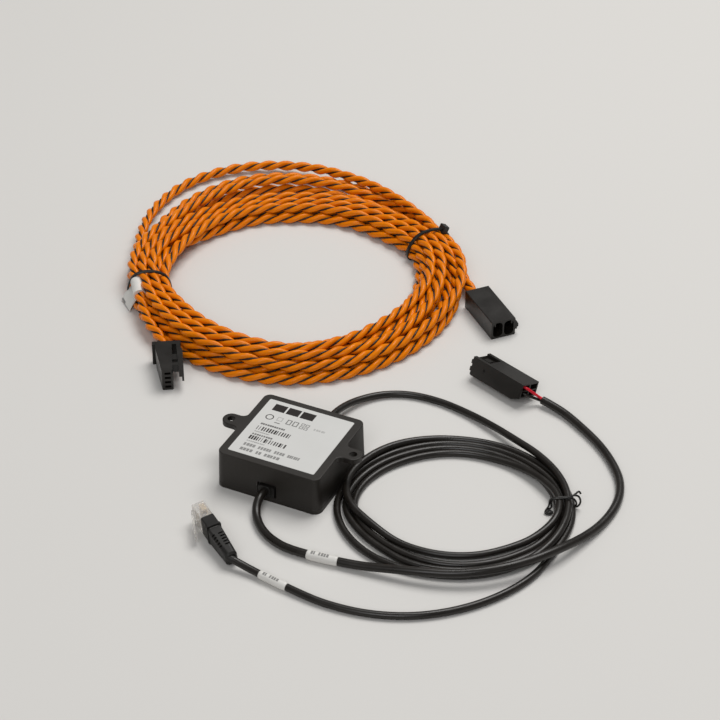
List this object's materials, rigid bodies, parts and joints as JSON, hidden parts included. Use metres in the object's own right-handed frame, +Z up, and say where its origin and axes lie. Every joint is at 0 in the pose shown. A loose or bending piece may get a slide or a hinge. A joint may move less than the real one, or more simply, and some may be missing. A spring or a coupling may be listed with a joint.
{
  "type": "leak detector",
  "caption": "Water leak detector: a flat sensor box with two screw ears, a coiled data cable with a modular plug, a lead with its connector, and a tied coil of twisted sensing rope.",
  "frame": {"origin": "centre of the box's underside, on the surface it stands on", "axes": "+X across the two screw ears, towards the coiled data cable; +Y from the front bushing to the rear bushing; +Z up, square to the label"},
  "size_m": [0.3729, 0.3753, 0.0227],
  "materials": {
    "box_plastic": "fine satin mould texture",
    "bushing_plastic": "satin",
    "screw_steel": "zinc plated",
    "board_green": "solder mask",
    "part_black": "moulded",
    "can_metal": "satin",
    "label_white": "printed polyester film",
    "cable_black": "satin jacket",
    "sleeve_white": "heat-shrink sleeve",
    "connector_black": "moulded nylon",
    "wire_red": "smooth insulation",
    "tie_black": "nylon",
    "boot_black": "soft moulded",
    "plug_clear": "clear moulded",
    "contact_gold": "gold plated",
    "rope_orange": "glossy jacket",
    "flag_white": "paper film"
  },
  "bodies": {
    "root": {"housing": "box_plastic", "base_cover": "box_plastic", "cover_screws": "screw_steel", "circuit_board": "board_green", "relay": "part_black", "chip": "part_black", "capacitors": "can_metal", "label_plate": "label_white", "front_bushing": "bushing_plastic", "rear_bushing": "bushing_plastic", "lead_cable": "cable_black", "lead_sleeve": "sleeve_white", "lead_connector": "connector_black", "lead_wire_red": "wire_red", "lead_wire_black": "cable_black", "data_cable_rear": "cable_black", "data_coil": "cable_black", "data_cable_tail": "cable_black", "data_sleeve": "sleeve_white", "coil_twist_tie": "tie_black", "plug_boot": "boot_black", "plug_body": "plug_clear", "plug_contacts": "contact_gold", "plug_core": "cable_black", "rope_coil": "rope_orange", "rope_tail_left": "rope_orange", "rope_tail_right": "rope_orange", "rope_receptacle": "connector_black", "receptacle_pins": "contact_gold", "rope_plug": "connector_black", "zip_tie_left": "tie_black", "zip_tie_right": "tie_black", "zip_head": "tie_black", "rope_flag": "flag_white"}
  },
  "joints": []
}
